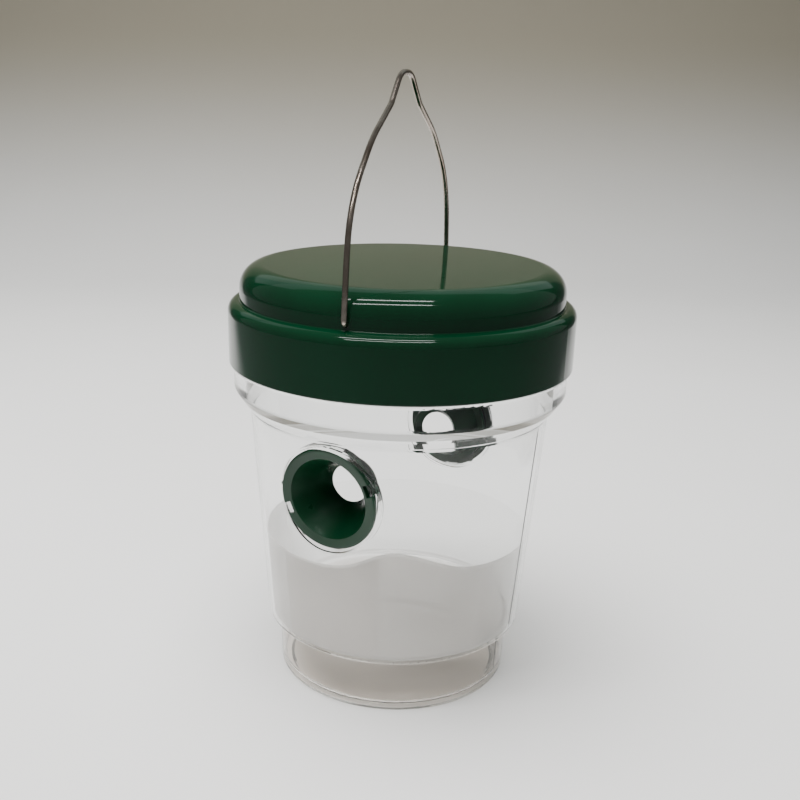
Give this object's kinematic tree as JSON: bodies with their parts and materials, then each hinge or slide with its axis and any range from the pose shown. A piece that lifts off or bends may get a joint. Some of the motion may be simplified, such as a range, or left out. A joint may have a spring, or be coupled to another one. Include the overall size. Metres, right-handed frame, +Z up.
{
  "type": "hanging wasp trap",
  "caption": "Clear tapered jar with a stepped foot, a green screw lid, a wire hanging bail and two green funnel entry tunnels that twist into its wall.",
  "frame": {"origin": "on the jar's axis, at the underside of its foot", "axes": "+Z up along the jar's axis; the two entry ports lie on -Y and +Y, the front one on -Y"},
  "size_m": [0.115, 0.115, 0.2039],
  "materials": {
    "clear_plastic": "clear, glossy",
    "frosted_film": "frosted, translucent",
    "green_lid": "high gloss",
    "seal_foam": "soft matte",
    "steel_wire": "drawn bright wire",
    "green_tunnel": "satin"
  },
  "bodies": {
    "jar": {"jar": "clear_plastic", "film_liner": "frosted_film"},
    "lid_seal": {"lid_seal": "seal_foam"},
    "lid": {"lid": "green_lid"},
    "bail": {"bail": "steel_wire"},
    "front_entry_tunnel": {"front_entry_tunnel": "green_tunnel"},
    "rear_entry_tunnel": {"rear_entry_tunnel": "green_tunnel"}
  },
  "joints": [
    {"name": "lid_lift", "type": "slide", "parent": "jar", "child": "lid_seal", "axis": [0, 0, 1], "range_m": [0, 0.021]},
    {"name": "lid_turn", "type": "hinge", "parent": "lid_seal", "child": "lid", "pos_m": [0, 0, 0.1127], "axis": [0, 0, 1], "range_deg": [0, 1260]},
    {"name": "bail_swing", "type": "hinge", "parent": "lid", "child": "bail", "pos_m": [0, 0, 0.1349], "axis": [0.1633, -0.9866, 0], "range_deg": [-90, 90]},
    {"name": "front_tunnel_twist", "type": "hinge", "parent": "jar", "child": "front_entry_tunnel", "pos_m": [0, -0.0465, 0.0775], "axis": [0, -0.9981, -0.061], "range_deg": [0, 60]},
    {"name": "rear_tunnel_twist", "type": "hinge", "parent": "jar", "child": "rear_entry_tunnel", "pos_m": [0, 0.0465, 0.0775], "axis": [0, 0.9981, -0.061], "range_deg": [0, 60]}
  ],
  "couplings": [
    {"joint": "lid_lift", "follows": "lid_turn", "m_per_rad": 0.00095493}
  ]
}
